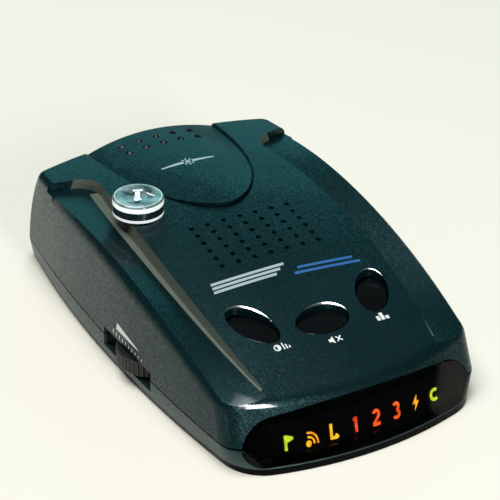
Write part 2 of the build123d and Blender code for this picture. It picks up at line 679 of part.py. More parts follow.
part("crystal", fillet(block(-4.5, 4.5, -3.0, 0.5, BOARD_HIGH, BOARD_HIGH + 2.6).edges().filter_by(Axis.Z), 1.6))
regulator = block(13.0, 17.0, 1.0, 7.0, BOARD_HIGH, BOARD_HIGH + 1.8)
regulator += block(17.0, 18.2, 2.0, 6.0, BOARD_HIGH, BOARD_HIGH + 0.6)
part("regulator", regulator)

# ---------------------------------------------------------------- power jack
jack = block(22.5, 31.6, -4.0, 4.0, BOARD_HIGH, JACK_Z + 3.2) + rod_x(31.6, JACK_MOUTH_X, 0, JACK_Z, 3.3)
jack -= rod_x(24.0, 40, 0, JACK_Z, JACK_BORE_R)
part("power_jack", jack)
contact = block(23.0, 24.0, -1.2, 1.2, JACK_Z - 1.2, JACK_Z + 1.2)
part("jack_contact", contact)
PARTS["power_jack"] = jack - contact

# ---------------------------------------------------------------- speaker
cloth = tilt * rod(0, 0, -0.75, -0.45, SPEAKER_R)
gasket = tilt * (rod(0, 0, -1.5, -0.75, SPEAKER_R) - rod(0, 0, -3, 3, SPEAKER_R - 1.3))
basket = tilt * (rod(0, 0, -2.2, -1.5, SPEAKER_R) + rod(0, 0, -4.6, -2.2, SPEAKER_R - 2.2)
                 - rod(0, 0, -4.0, 3, SPEAKER_R - 2.6))
cone_profile = make_face(Polyline(
    (4.0, -3.5), (SPEAKER_R - 3.0, -1.8), (SPEAKER_R - 2.7, -1.5), (SPEAKER_R - 1.4, -1.5),
    (SPEAKER_R - 1.4, -1.3), (SPEAKER_R - 3.0, -1.3), (3.8, -3.2), close=True))
cone = tilt * revolve(Plane.XZ * cone_profile, Axis.Z)
dust = tilt * ((Pos(0, 0, -8.2) * Sphere(6.1)) - (Pos(0, 0, -8.2) * Sphere(5.8)) - block(-9, 9, -9, 9, -20, -3.35))
magnet = tilt * (rod(0, 0, -6.6, -4.6, 7.5))
part("speaker_cloth", cloth)
part("speaker_gasket", gasket)
part("speaker_basket", basket)
part("speaker_cone", cone)
part("speaker_dust_cap", dust)
part("speaker_magnet", magnet)
tab = tilt * block(-4.0, 4.0, -SPEAKER_R + 0.6, -SPEAKER_R + 2.2, -3.2, -2.2)
part("speaker_terminals", tab)
for node, side in (("speaker_lead_red", 1), ("speaker_lead_black", -1)):
    start = tilt * Pos(side * 2.4, -SPEAKER_R + 1.4, -3.2)
    p0 = start.position
    route = Spline(p0, (side * 3.4, p0.Y - 1.5, (p0.Z + BOARD_HIGH) / 2 + 1.5), (side * 9.0, -26.0, BOARD_HIGH),
                   tangents=[(0, 0, -1), (0, 0, -1)])
    wire = sweep(Plane(origin=p0, z_dir=route % 0) * Circle(0.45), route)
    part(node, wire)

# ---------------------------------------------------------------- antenna and microwave parts
HORN_LOW = 6.4
HORN_HIGH = 19.8
HORN_MOUTH_Y = 51.0
HORN_THROAT_Y = 27.0
HORN_BACK_Y = 14.0


def tapered(half_front, low_front, high_front, half_back, low_back, high_back, y_front, y_back):
    """Four-sided flare between two upright rectangles."""
    front = Rot(90, 0, 0) * Rectangle(2 * half_front, high_front - low_front)
    front = Pos(0, y_front, (low_front + high_front) / 2) * front
    back = Rot(90, 0, 0) * Rectangle(2 * half_back, high_back - low_back)
    back = Pos(0, y_back, (low_back + high_back) / 2) * back
    return loft([back, front], ruled=True)


horn = tapered(25.0, HORN_LOW, HORN_HIGH, 12.5, HORN_LOW, 16.4, HORN_MOUTH_Y, HORN_THROAT_Y)
horn += block(-12.5, 12.5, HORN_BACK_Y, HORN_THROAT_Y, HORN_LOW, 16.4)
HORN_EARS = ((-17.0, 22.0), (17.0, 22.0))
for x, y in HORN_EARS:
    horn += block(min(x, 0), max(x, 0), y - 3, y + 3, HORN_LOW, HORN_LOW + 2.0)
    horn += rod(x, y, HORN_LOW, HORN_LOW + 2.0, 3.0)
horn -= tapered(23.6, HORN_LOW + 1.3, HORN_HIGH - 1.3, 8.0, 9.0, 14.4, HORN_MOUTH_Y + 0.01, HORN_THROAT_Y)
horn -= block(-8.0, 8.0, HORN_BACK_Y + 2, HORN_THROAT_Y + 0.5, 9.0, 14.4)
horn_screws = None
for x, y in HORN_EARS:
    horn -= rod(x, y, 0, 20, 1.0)
    screw = rod(x, y, 3.0, HORN_LOW + 2.0, 1.0) + rod(x, y, HORN_LOW + 2.0, HORN_LOW + 3.4, 2.0)
    screw -= block(x - 1.3, x + 1.3, y - 0.25, y + 0.25, HORN_LOW + 2.8, 20)
    horn_screws = screw if horn_screws is None else horn_screws + screw
    PARTS["lower_cover"] += rod(x, y, WALL - 0.5, HORN_LOW, 2.6)
    PARTS["lower_cover"] -= rod(x, y, 3.0, HORN_LOW + 1, 1.0)
part("horn_antenna", horn)
part("horn_screws", horn_screws)
part("microwave_board", block(-11.5, 11.5, HORN_BACK_Y + 1, HORN_THROAT_Y - 1, 16.4, 17.2))
can = block(-10.5, 10.5, HORN_BACK_Y + 2, HORN_THROAT_Y - 2, 17.2, 20.4)
can -= block(-10.1, 10.1, HORN_BACK_Y + 2.4, HORN_THROAT_Y - 2.4, 17.0, 20.0)
part("shield_can", can)

# ---------------------------------------------------------------- laser receiver
laser_board = block(-26, 12, 19.0, 44.0, LASER_BOARD_LOW, LASER_BOARD_HIGH)
laser_board += block(-26, -16, 12.0, 20.0, LASER_BOARD_LOW, LASER_BOARD_HIGH)
LASER_POSTS = ((-22.5, 38.0), (8.5, 38.0), (8.5, 22.0))
laser_screws = None
for x, y in LASER_POSTS:
    laser_board -= rod(x, y, 0, 40, 0.9)
    roof_z = hood_height(y) if x > 0 else top_height(y)
    PARTS["upper_cover"] += rod(x, y, LASER_BOARD_HIGH, roof_z - 1.6, 2.0)
    PARTS["upper_cover"] -= rod(x, y, LASER_BOARD_HIGH - 1, 26.0, 0.9)
    screw = rod(x, y, LASER_BOARD_LOW, 26.0, 0.9) + rod(x, y, LASER_BOARD_LOW - 1.1, LASER_BOARD_LOW, 1.8)
    screw -= block(x - 1.2, x + 1.2, y - 0.25, y + 0.25, 0, LASER_BOARD_LOW - 0.6)
    laser_screws = screw if laser_screws is None else laser_screws + screw
part("laser_board", laser_board)
part("laser_screws", laser_screws)
part("front_photodiode", block(-3.0, 3.0, 40.0, 42.0, LASER_BOARD_HIGH, 28.2))
condenser = rod_y(0, 43.2, 45.6, 26.2, 2.2)
condenser = fillet(condenser.edges().sort_by(Axis.Y)[-1], 0.9)
holder = block(-3.0, 3.0, 42.0, 45.0, LASER_BOARD_HIGH, 28.6) - rod_y(0, 40, 50, 26.2, 2.2)
part("condenser_lens", condenser)
part("condenser_holder", holder)
part("top_photodiode", block(KNOB_X - 2.0, KNOB_X + 2.0, KNOB_Y - 2.0, KNOB_Y + 2.0,
                             LASER_BOARD_HIGH, LASER_BOARD_HIGH + 1.2))

# clear lens: a short puck with a conical pit on top and a stem through the roof
knob = fillet(rod(KNOB_X, KNOB_Y, KNOB_SEAT, KNOB_TOP, KNOB_R).edges().sort_by(Axis.Z)[-1], 1.1)
knob += rod(KNOB_X, KNOB_Y, 26.4, KNOB_SEAT, KNOB_STEM_R)
pit = Pos(KNOB_X, KNOB_Y, KNOB_TOP - 1.45) * Cone(0.4, 4.0, 2.9)
part("top_laser_lens", knob - pit)

for node, shape in PARTS.items():
    export_step(shape, "parts/" + node + ".step")
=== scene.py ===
import json
import math

import bmesh
import bpy
from mathutils import Matrix, Vector
from mathutils.bvhtree import BVHTree


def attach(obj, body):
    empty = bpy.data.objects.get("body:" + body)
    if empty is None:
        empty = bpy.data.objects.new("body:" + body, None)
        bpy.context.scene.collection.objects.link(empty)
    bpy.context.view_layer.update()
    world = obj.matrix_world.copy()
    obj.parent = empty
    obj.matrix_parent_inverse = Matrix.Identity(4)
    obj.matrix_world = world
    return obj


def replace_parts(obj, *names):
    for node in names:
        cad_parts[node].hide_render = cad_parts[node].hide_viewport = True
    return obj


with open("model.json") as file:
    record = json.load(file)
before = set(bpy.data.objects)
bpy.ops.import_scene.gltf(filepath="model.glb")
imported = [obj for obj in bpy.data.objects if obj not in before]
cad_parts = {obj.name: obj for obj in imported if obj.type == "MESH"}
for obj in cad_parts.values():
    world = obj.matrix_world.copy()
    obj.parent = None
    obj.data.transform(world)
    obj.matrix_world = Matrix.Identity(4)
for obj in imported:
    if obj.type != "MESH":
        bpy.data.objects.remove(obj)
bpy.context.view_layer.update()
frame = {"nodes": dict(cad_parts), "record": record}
nodes = frame["nodes"]
MM = 0.001


# ------------------------------------------------------------ materials
def new_material(name):
    mat = bpy.data.materials.new(name)
    mat.use_nodes = True
    tree = mat.node_tree
    return mat, tree, tree.nodes["Principled BSDF"]


def link(tree, a, b):
    tree.links.new(a, b)


def object_coords(tree):
    return tree.nodes.new("ShaderNodeTexCoord").outputs["Object"]


def noise(tree, coords, scale, detail=3.0, roughness=0.5):
    node = tree.nodes.new("ShaderNodeTexNoise")
    node.inputs["Scale"].default_value = scale
    node.inputs["Detail"].default_value = detail
    node.inputs["Roughness"].default_value = roughness
    link(tree, coords, node.inputs["Vector"])
    return node.outputs["Fac"]


def ramp(tree, fac, low, high, start=0.3, end=0.7):
    node = tree.nodes.new("ShaderNodeValToRGB")
    node.color_ramp.elements[0].position = start
    node.color_ramp.elements[1].position = end
    node.color_ramp.elements[0].color = (*low, 1)
    node.color_ramp.elements[1].color = (*high, 1)
    link(tree, fac, node.inputs["Fac"])
    return node.outputs["Color"]


def spread(tree, fac, low, high, start=0.3, end=0.7):
    node = tree.nodes.new("ShaderNodeMapRange")
    node.inputs["From Min"].default_value = start
    node.inputs["From Max"].default_value = end
    node.inputs["To Min"].default_value = low
    node.inputs["To Max"].default_value = high
    link(tree, fac, node.inputs["Value"])
    return node.outputs["Result"]


def bump(tree, height, strength, distance):
    node = tree.nodes.new("ShaderNodeBump")
    node.inputs["Strength"].default_value = strength
    node.inputs["Distance"].default_value = distance
    link(tree, height, node.inputs["Height"])
    return node.outputs["Normal"]


def math_node(tree, operation, a, b, c=0.0):
    node = tree.nodes.new("ShaderNodeMath")
    node.operation = operation
    for socket, value in zip(node.inputs, (a, b, c)):
        if isinstance(value, float):
            socket.default_value = value
        else:
            link(tree, value, socket)
    return node.outputs[0]


def inside(tree, axes, low, high):
    """1 where the object coordinates lie between two corners given in mm."""
    fac = None
    for axis, a, b in zip(axes, low, high):
        near = math_node(tree, "COMPARE", axis, (a + b) / 2 * MM, (b - a) / 2 * MM)
        fac = near if fac is None else math_node(tree, "MULTIPLY", fac, near)
    return fac


def blend(tree, fac, first, second, mode="MIX"):
    node = tree.nodes.new("ShaderNodeMix")
    node.data_type = "RGBA"
    node.blend_type = mode
    for name, value in (("Factor", fac), ("A", first), ("B", second)):
        socket = node.inputs[name]
        if isinstance(value, tuple):
            socket.default_value = (*value, 1)
        elif isinstance(value, float):
            socket.default_value = value
        else:
            link(tree, value, socket)
    return node.outputs["Result"]


def shade(colour, gain):
    return tuple(min(1.0, c * gain) for c in colour)


def plastic(name, colour, rough=0.45, grain=0.25, variation=0.12,
            coat=0.0, metallic=0.0, relief=0.02, specular=0.5):
    """Moulded or cast surface: fine grain, slight colour and gloss variation."""
    mat, tree, bsdf = new_material(name)
    coords = object_coords(tree)
    broad = noise(tree, coords, 60.0, 4.0)
    fine = noise(tree, coords, 1.0 / (grain * MM), 2.0)
    link(tree, ramp(tree, broad, shade(colour, 1 - variation), shade(colour, 1 + variation)),
         bsdf.inputs["Base Color"])
    link(tree, spread(tree, broad, rough * 0.88, rough * 1.12), bsdf.inputs["Roughness"])
    link(tree, bump(tree, fine, 0.35, relief * MM), bsdf.inputs["Normal"])
    bsdf.inputs["Metallic"].default_value = metallic
    bsdf.inputs["Specular IOR Level"].default_value = specular
    bsdf.inputs["Coat Weight"].default_value = coat
    bsdf.inputs["Coat Roughness"].default_value = 0.12
    return mat


# places that the paint treats apart: a point, then boxes between two corners, in mm
POLISH_SPOT = (-27.0, -50.8, 13.0)
WHEEL_SLOT = ((-40.0, -17.3, 3.05), (-30.0, 5.5, 8.15))
PARTING_BAND = ((-60, -80, 5.85), (60, 80, 6.35))
FOOT_BAND = ((-60, -80, -1.0), (60, 80, 1.52))
LEDGE_AREA = ((-33.5, -45.5, 8.0), (33.5, 39.0, 31.0))
LEDGE_STRIP_AREA = ((-40.0, -45.5, 8.0), (40.0, 34.3, 31.0))
LEDGE_END = ((21000.0, 33000.0, 8.0), (33500.0, 39000.0, 31.0))    # first two in thousandths of mm
LEDGE_LINE = (25.75, -0.01285, -0.001797)    # inner wall: x = a + b y + c y y
# colours that the paint turns to there
# painted reflection: the olive light on the ledge walls and the strip beside them
LEDGE_PAINTED_LIGHT = (0.12, 0.14, 0.112)
# painted light from the floor, strongest at the bottom of the base
FOOT_PAINTED_LIGHT = (0.05, 0.085, 0.08)
# near-black for the wheel slot, painted shade on the parting line and the foot band
DARK_SLOT_AND_PAINTED_SHADE = (0.004, 0.005, 0.005)


def vector_node(tree, operation, a, b=None, scale=None):
    node = tree.nodes.new("ShaderNodeVectorMath")
    node.operation = operation
    link(tree, a, node.inputs[0])
    if isinstance(b, tuple):
        node.inputs[1].default_value = b
    elif b is not None:
        link(tree, b, node.inputs[1])
    if scale is not None:
        node.inputs["Scale"].default_value = scale
    return node.outputs["Value" if operation == "DISTANCE" else "Vector"]


def split_axes(tree, vector):
    node = tree.nodes.new("ShaderNodeSeparateXYZ")
    link(tree, vector, node.inputs["Vector"])
    return [node.outputs[axis] for axis in "XYZ"]


def ledge_light_mask(tree, axes, true_normal):
    """1 where painted light goes: the steep inner walls of the side ledges and the strip beside them."""
    upward = math_node(tree, "ABSOLUTE", split_axes(tree, true_normal)[2], 0.0)
    steep = spread(tree, upward, 1.0, 0.0, 0.5, 0.8)
    across = math_node(tree, "MULTIPLY", math_node(tree, "ABSOLUTE", axes[0], 0.0), 1.0 / MM)
    along = math_node(tree, "MULTIPLY", axes[1], 1.0 / MM)
    slope = math_node(tree, "MULTIPLY_ADD", along, LEDGE_LINE[2], LEDGE_LINE[1])
    line = math_node(tree, "MULTIPLY_ADD", slope, along, LEDGE_LINE[0])
    gap = math_node(tree, "SUBTRACT", across, line)
    reach = math_node(tree, "MULTIPLY_ADD", along, 0.025, 1.6)
    strip = math_node(tree, "MULTIPLY", math_node(tree, "GREATER_THAN", gap, -0.1),
                      math_node(tree, "LESS_THAN", gap, reach))
    strip = math_node(tree, "MULTIPLY", strip, inside(tree, axes, *LEDGE_STRIP_AREA))
    end_wall = inside(tree, [across, along, axes[2]], *LEDGE_END)
    wall = math_node(tree, "MAXIMUM", math_node(tree, "COMPARE", gap, -0.6, 2.2), end_wall)
    wall = math_node(tree, "MAXIMUM", math_node(tree, "MULTIPLY", steep, wall), strip)
    return math_node(tree, "MULTIPLY", wall, inside(tree, axes, *LEDGE_AREA))


def flake_paint(name, colour, foot=False, flake_mm=0.28, rough=0.36, coat=0.1, metallic=0.6, glint=0.11):
    """Metallic paint: small flakes that each face a slightly different way, under a thin clear coat, with
    painted light and shade at the places listed above.
    """
    mat, tree, bsdf = new_material(name)
    coords = object_coords(tree)
    normals = tree.nodes.new("ShaderNodeNewGeometry").outputs
    cells = tree.nodes.new("ShaderNodeTexVoronoi")
    cells.inputs["Scale"].default_value = 1.0 / (flake_mm * MM)
    link(tree, coords, cells.inputs["Vector"])
    split = tree.nodes.new("ShaderNodeSeparateColor")
    link(tree, cells.outputs["Color"], split.inputs["Color"])
    broad = noise(tree, coords, 45.0, 3.0)
    base = ramp(tree, split.outputs["Red"], shade(colour, 0.62), shade(colour, 1.5), 0.1, 0.95)
    base = blend(tree, 0.3, base, ramp(tree, broad, (0.75, 0.78, 0.8), (1, 1, 1)), "MULTIPLY")
    axes = split_axes(tree, coords)
    # painted reflection: the ledge walls and the strip beside them are painted olive, the light that they
    # reflect, and lose their metal
    wall = ledge_light_mask(tree, axes, normals["True Normal"])
    base = blend(tree, wall, base, LEDGE_PAINTED_LIGHT)
    no_ledge_light = math_node(tree, "SUBTRACT", 1.0, wall)
    link(tree, math_node(tree, "MULTIPLY", no_ledge_light, metallic), bsdf.inputs["Metallic"])
    # the wheel slot is made near-black, and the parting line and the foot band get painted shade
    dark = math_node(tree, "MAXIMUM", inside(tree, axes, *WHEEL_SLOT), inside(tree, axes, *PARTING_BAND))
    if foot:
        # painted light: the base turns lighter towards the bottom, as if lit from the floor
        painted_floor_light = spread(tree, axes[2], 1.0, 0.0, 1.5 * MM, 6.1 * MM)
        base = blend(tree, painted_floor_light, base, FOOT_PAINTED_LIGHT)
        dark = math_node(tree, "MAXIMUM", dark, inside(tree, axes, *FOOT_BAND))
    lit = math_node(tree, "SUBTRACT", 1.0, dark)
    link(tree, blend(tree, dark, base, DARK_SLOT_AND_PAINTED_SHADE), bsdf.inputs["Base Color"])
    # the coat is heavier at one corner of the display
    away = vector_node(tree, "DISTANCE", coords, tuple(v * MM for v in POLISH_SPOT))
    polish = spread(tree, away, 1.0, coat, 3.5 * MM, 7.5 * MM)
    link(tree, math_node(tree, "MULTIPLY", lit, polish), bsdf.inputs["Coat Weight"])
    link(tree, math_node(tree, "MULTIPLY_ADD", lit, 0.2, 0.05), bsdf.inputs["Specular IOR Level"])
    # each flake tips the normal a little
    centred = vector_node(tree, "SUBTRACT", cells.outputs["Color"], (0.5, 0.5, 0.5))
    tilt = vector_node(tree, "SCALE", centred, scale=glint * 2)
    tipped = vector_node(tree, "ADD", normals["Normal"], tilt)
    link(tree, vector_node(tree, "NORMALIZE", tipped), bsdf.inputs["Normal"])
    link(tree, spread(tree, broad, rough * 0.9, rough * 1.1), bsdf.inputs["Roughness"])
    bsdf.inputs["Coat Roughness"].default_value = 0.07
    return mat


def clear(name, tint, rough=0.02, ior=1.49):
    """Clear or tinted moulded plastic with faint flow marks."""
    mat, tree, bsdf = new_material(name)
    coords = object_coords(tree)
    flow = noise(tree, coords, 90.0, 2.0)
    link(tree, ramp(tree, flow, shade(tint, 0.93), tint), bsdf.inputs["Base Color"])
    link(tree, bump(tree, flow, 0.12, 0.05 * MM), bsdf.inputs["Normal"])
    bsdf.inputs["Roughness"].default_value = rough
    bsdf.inputs["IOR"].default_value = ior
    bsdf.inputs["Transmission Weight"].default_value = 1.0
    return mat


def glow(name, colour, strength, edge):
    """Lit diffuser, softly clouded between two colours."""
    mat, tree, bsdf = new_material(name)
    coords = object_coords(tree)
    cloud = noise(tree, coords, 700.0, 1.0)
    bsdf.inputs["Base Color"].default_value = (*shade(colour, 0.5), 1)
    bsdf.inputs["Roughness"].default_value = 0.5
    link(tree, ramp(tree, cloud, edge, colour, 0.25, 0.6), bsdf.inputs["Emission Color"])
    bsdf.inputs["Emission Strength"].default_value = strength
    return mat


def brushed(name, colour, rough=0.32):
    mat, tree, bsdf = new_material(name)
    coords = object_coords(tree)
    stretch = tree.nodes.new("ShaderNodeMapping")
    stretch.inputs["Scale"].default_value = (1.0, 12.0, 1.0)
    link(tree, coords, stretch.inputs["Vector"])
    lines = noise(tree, stretch.outputs["Vector"], 900.0, 2.0)
    link(tree, ramp(tree, lines, shade(colour, 0.85), shade(colour, 1.1)), bsdf.inputs["Base Color"])
    link(tree, spread(tree, lines, rough * 0.8, rough * 1.3), bsdf.inputs["Roughness"])
    link(tree, bump(tree, lines, 0.2, 0.01 * MM), bsdf.inputs["Normal"])
    bsdf.inputs["Metallic"].default_value = 1.0
    return mat


def woven(name, colour):
    mat, tree, bsdf = new_material(name)
    coords = object_coords(tree)
    heights = []
    for direction in ("X", "Y"):
        wave = tree.nodes.new("ShaderNodeTexWave")
        wave.bands_direction = direction
        wave.inputs["Scale"].default_value = 700.0
        wave.inputs["Distortion"].default_value = 0.4
        link(tree, coords, wave.inputs["Vector"])
        heights.append(wave.outputs["Fac"])
    both = tree.nodes.new("ShaderNodeMath")
    both.operation = "MULTIPLY"
    link(tree, heights[0], both.inputs[0])
    link(tree, heights[1], both.inputs[1])
    link(tree, ramp(tree, both.outputs[0], shade(colour, 0.4), shade(colour, 1.6), 0.1, 0.9),
         bsdf.inputs["Base Color"])
    link(tree, bump(tree, both.outputs[0], 0.8, 0.08 * MM), bsdf.inputs["Normal"])
    bsdf.inputs["Roughness"].default_value = 0.85
    bsdf.inputs["Sheen Weight"].default_value = 0.2
    return mat


def board_finish(name, colour, track):
    """Solder mask with faint tracks below it."""
    mat, tree, bsdf = new_material(name)
    coords = object_coords(tree)
    bricks = tree.nodes.new("ShaderNodeTexBrick")
    bricks.inputs["Scale"].default_value = 160.0
    bricks.inputs["Mortar Size"].default_value = 0.035
    bricks.inputs["Color1"].default_value = (*colour, 1)
    bricks.inputs["Color2"].default_value = (*shade(colour, 1.15), 1)
    bricks.inputs["Mortar"].default_value = (*track, 1)
    link(tree, coords, bricks.inputs["Vector"])
    link(tree, bricks.outputs["Color"], bsdf.inputs["Base Color"])
    link(tree, bump(tree, bricks.outputs["Fac"], 0.3, 0.03 * MM), bsdf.inputs["Normal"])
    bsdf.inputs["Roughness"].default_value = 0.35
    return mat


TEAL = (0.003, 0.023, 0.027)
FINISHES = {
    "shell_top": flake_paint("PaintTop", TEAL),
    # the base takes the top's paint 1.5 times lighter: painted light, the same paint more lit
    "shell_base": flake_paint("PaintBase", shade(TEAL, 1.5), foot=True),
    "smoked_lens": clear("SmokedLens", (0.24, 0.225, 0.215), 0.03, 1.22),
    "red_window": clear("RedWindow", (0.5, 0.02, 0.03), 0.04),
    "clear_lens": clear("ClearLens", (0.94, 0.98, 0.98), 0.01),
    "key_black": plastic("KeyBlack", (0.003, 0.0035, 0.004), 0.1, 0.6, 0.2,
                         coat=0.2, relief=0.002, specular=0.15),
    "switch_white": plastic("SwitchWhite", (0.72, 0.71, 0.66), 0.4),
    "wheel_black": plastic("WheelBlack", (0.006, 0.0065, 0.0065), 0.42, 0.3),
    "steel": brushed("ZincSteel", (0.58, 0.57, 0.54)),
    "component_black": plastic("ComponentBlack", (0.02, 0.02, 0.021), 0.5),
    "label": plastic("LabelFilm", (0.52, 0.54, 0.55), 0.3, 0.5, 0.04),
    "mask_black": plastic("MaskBlack", (0.003, 0.005, 0.006), 0.55),
    "legend_glow": plastic("LegendSmoke", (0.012, 0.010, 0.010), 0.3),
    "led_amber": clear("LedResin", (0.9, 0.6, 0.25), 0.12),
    "circuit_board": board_finish("SolderMask", (0.012, 0.11, 0.04), (0.05, 0.2, 0.08)),
    "tin": brushed("Tinned", (0.66, 0.65, 0.62), 0.26),
    "can_blue": plastic("CanSleeve", (0.02, 0.03, 0.12), 0.25, coat=0.4),
    "brass": brushed("Brass", (0.72, 0.52, 0.2), 0.25),
    "cloth": woven("GrilleCloth", (0.008, 0.009, 0.009)),
    "foam": plastic("Foam", (0.03, 0.03, 0.03), 0.9, 0.5, 0.3, relief=0.15),
    "cone_paper": plastic("ConePaper", (0.03, 0.03, 0.03), 0.8, 0.4, 0.3, relief=0.05),
    "ferrite": plastic("Ferrite", (0.05, 0.05, 0.055), 0.55, 0.4),
    "phenolic": plastic("Phenolic", (0.2, 0.09, 0.03), 0.5),
    "wire_red": plastic("WireRed", (0.4, 0.012, 0.012), 0.35),
    "wire_black": plastic("WireBlack", (0.015, 0.015, 0.015), 0.35),
    "die_cast": plastic("DieCast", (0.5, 0.5, 0.5), 0.42, 0.6, 0.1, metallic=1.0, relief=0.05),
    "microwave_laminate": plastic("MicrowaveLaminate", (0.62, 0.58, 0.44), 0.45),
    "diode_dark": plastic("DiodeDark", (0.03, 0.006, 0.02), 0.18, coat=0.5),
}
slot_of = {s["node"]: s["material_slot"] for s in frame["record"]["subparts"]}
for name, obj in nodes.items():
    obj.data.materials.clear()
    obj.data.materials.append(FINISHES[slot_of[name]])


# ------------------------------------------------------------ printed marks
def surface_tree(name):
    mesh = nodes[name].data
    corners = [v.co.copy() for v in mesh.vertices]
    return BVHTree.FromPolygons(corners, [tuple(p.vertices) for p in mesh.polygons])


cover_tree = surface_tree("upper_cover")
PRINT_LIFT = 0.035 * MM


def on_roof(x, y):
    hit, normal, _, _ = cover_tree.ray_cast(Vector((x * MM, y * MM, 0.06)), Vector((0, 0, -1)))
    return hit + normal * PRINT_LIFT


def on_left_side(y, z):
    hit, normal, _, _ = cover_tree.ray_cast(Vector((-0.06, y * MM, z * MM)), Vector((1, 0, 0)))
    return hit + normal * PRINT_LIFT


def add_piece(name, mesh, material=None):
    """Put a mesh in the scene as a piece that belongs to the case."""
    obj = bpy.data.objects.new(name, mesh)
    bpy.context.scene.collection.objects.link(obj)
    if material is not None:
        mesh.materials.append(material)
    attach(obj, "case")
    return obj


def printed(name, outlines, material, place, longest=1.2):
    """Flat shapes, each a list of (u, v) corners in mm, laid on the case as a thin print."""
    bm = bmesh.new()
    for outline in outlines:
        bm.faces.new([bm.verts.new((u, v, 0)) for u, v in outline])
    bmesh.ops.triangulate(bm, faces=bm.faces[:])
    for _ in range(4):
        long_edges = [e for e in bm.edges if e.calc_length() > longest]
        if long_edges:
            bmesh.ops.subdivide_edges(bm, edges=long_edges, cuts=1)
            bmesh.ops.triangulate(bm, faces=bm.faces[:])
    for v in bm.verts:
        v.co = place(v.co.x, v.co.y)
    bmesh.ops.recalc_face_normals(bm, faces=bm.faces[:])
    mesh = bpy.data.meshes.new(name)
    bm.to_mesh(mesh)
    bm.free()
    return add_piece(name, mesh, material)


def bar(x0, y0, x1, y1, width, end_width=None):
    """Straight stroke between two points, optionally tapering."""
    end_width = width if end_width is None else end_width
    dx, dy = x1 - x0, y1 - y0
    size = math.hypot(dx, dy)
    nx, ny = -dy / size / 2, dx / size / 2
    return [(x0 + nx * width, y0 + ny * width), (x0 - nx * width, y0 - ny * width),
            (x1 - nx * end_width, y1 - ny * end_width), (x1 + nx * end_width, y1 + ny * end_width)]


def ring(x, y, radius, width, start=0.0, end=360.0, steps=20):
    """Part of a ring, as short quads."""
    quads = []
    for i in range(steps):
        a = math.radians(start + (end - start) * i / steps)
        b = math.radians(start + (end - start) * (i + 1) / steps)
        inner, outer = radius - width / 2, radius + width / 2
        quads.append([(x + inner * math.cos(a), y + inner * math.sin(a)),
                      (x + outer * math.cos(a), y + outer * math.sin(a)),
                      (x + outer * math.cos(b), y + outer * math.sin(b)),
                      (x + inner * math.cos(b), y + inner * math.sin(b))])
    return quads


def moved(outlines, x, y):
    return [[(x + u, y + v) for u, v in outline] for outline in outlines]


ink_pale = plastic("InkPale", (0.36, 0.46, 0.48), 0.4, 0.3, 0.08)
ink_white = plastic("InkWhite", (0.78, 0.82, 0.8), 0.4, 0.3, 0.05)
ink_blue = plastic("InkBlue", (0.02, 0.11, 0.33), 0.4, 0.3, 0.08)

# laser mark: a small burst on a long beam
burst = [bar(1.0 * math.cos(a), 1.0 * math.sin(a), 1.7 * math.cos(a), 1.7 * math.sin(a), 0.42)
         for a in (math.radians(45 * k) for k in range(8)) if abs(math.sin(a)) > 0.3]
burst += ring(0, 0, 0.45, 0.5)
burst += [bar(1.2, 0, 7.4, 0, 1.1, 0.5), bar(-1.2, 0, -7.4, 0, 1.1, 0.5)]
printed("LaserMark", moved(burst, 0, 30.8), ink_pale, on_roof)

# two-tone accent stripes
pale_stripes = []
for i, (length, y) in enumerate(((19.4, 0.0), (18.0, -1.25), (16.6, -2.5))):
    left = -18.6 - 0.25 * i
    pale_stripes.append([(left, -14.7 + y), (left - 0.3, -15.5 + y),
                         (left - 0.3 + length, -15.5 + y), (left + length, -14.7 + y)])
printed("AccentPale", pale_stripes, ink_pale, on_roof)
blue_stripes = [[(3.2, -17.0), (2.9, -17.8), (17.4, -18.9), (17.7, -18.1)],
                [(1.6, -18.5), (1.3, -19.3), (18.6, -20.6), (18.9, -19.8)]]
printed("AccentBlue", blue_stripes, ink_blue, on_roof)

# key symbols
dim_icon = ring(0, 0, 0.72, 0.3) + [[(0, -0.6), (0.42, -0.42), (0.6, 0), (0.42, 0.42), (0, 0.6)]]
dim_icon += [bar(x, -0.9, x, top, 0.32) for x, top in ((1.5, 0.9), (2.2, 0.35), (2.9, -0.2))]
mute_icon = [[(-1.6, -0.4), (-1.0, -0.4), (-0.3, -1.0), (-0.3, 1.0), (-1.0, 0.4), (-1.6, 0.4)],
             bar(0.4, -0.65, 1.7, 0.65, 0.32), bar(0.4, 0.65, 1.7, -0.65, 0.32)]
city_icon = [[(-1.7, -0.9), (-0.9, -0.9), (-0.9, 0.4), (-1.7, 0.4)],
             [(-0.6, -0.9), (0.3, -0.9), (0.3, 1.1), (-0.6, 1.1)],
             [(0.6, -0.9), (1.5, -0.9), (1.5, 0.0), (0.6, 0.0)]]
printed("DimIcon", moved(dim_icon, -14.0, -37.3), ink_white, on_roof)
printed("MuteIcon", moved(mute_icon, -0.3, -39.7), ink_white, on_roof)
printed("CityIcon", moved(city_icon, 14.0, -37.4), ink_white, on_roof)

# volume wedge and ticks on the left side
wedge = [[(-0.6, 10.9), (-1.0, 12.8), (-11.6, 11.1), (-11.5, 10.9)]]
printed("VolumeWedge", wedge, ink_white, on_left_side)
ticks = [bar(0.8 - 1.55 * k, 9.0, 0.8 - 1.55 * k, 10.2 - 0.07 * k, 0.32) for k in range(10)]
printed("VolumeTicks", ticks, ink_white, on_left_side)


# raised finger dots: a dark edge round each
DOT_ROWS = (43.64, 48.07)
DOT_PITCH = 4.926
dot_edges = []
for y in DOT_ROWS:
    for i in range(5):
        dot_edges += ring((i - 2) * DOT_PITCH, y, 0.72, 0.62, steps=14)
printed("DotEdges", dot_edges, FINISHES["key_black"], on_roof)


